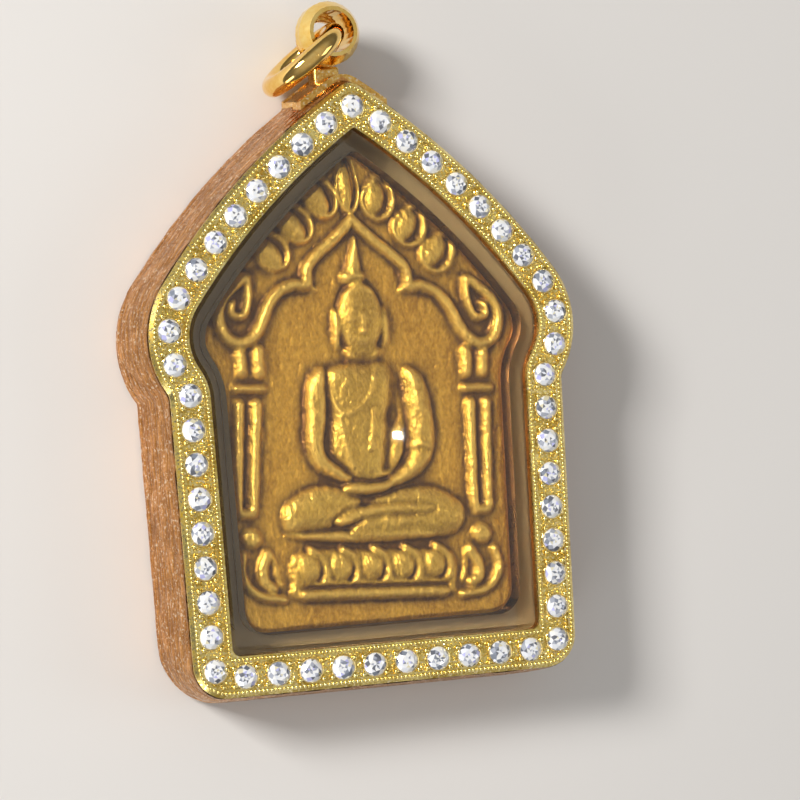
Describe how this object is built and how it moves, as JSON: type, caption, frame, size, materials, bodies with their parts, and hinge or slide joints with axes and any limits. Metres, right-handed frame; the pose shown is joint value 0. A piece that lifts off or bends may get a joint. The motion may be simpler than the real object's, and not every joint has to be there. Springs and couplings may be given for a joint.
{
  "type": "amulet pendant",
  "caption": "Peaked gold pendant case with a stone-set front, holding a gilt seated-figure tablet in a clear capsule, hung from a jump ring and a barrel bail.",
  "frame": {"origin": "centre of the bounding box's bottom, in the plane of the pendant's back", "axes": "+Z out of the front face, +Y towards the bail, +X to the wearer's left as the front is seen"},
  "size_m": [0.0406, 0.0602, 0.009],
  "materials": {
    "case": "gold plate, granulated on the front, satin and engraved on the side",
    "back_rim": "satin gold plate",
    "stones": "clear faceted",
    "capsule": "clear polished",
    "tablet": "matte gilt over pressed clay",
    "ring": "polished gold plate",
    "bail": "polished gold plate, diamond cut"
  },
  "bodies": {
    "root": {"case": "case", "back_rim": "back_rim", "stones": "stones", "capsule_front": "capsule", "capsule_back": "capsule", "amulet": "tablet", "jump_ring": "ring", "bail": "bail"}
  },
  "joints": []
}
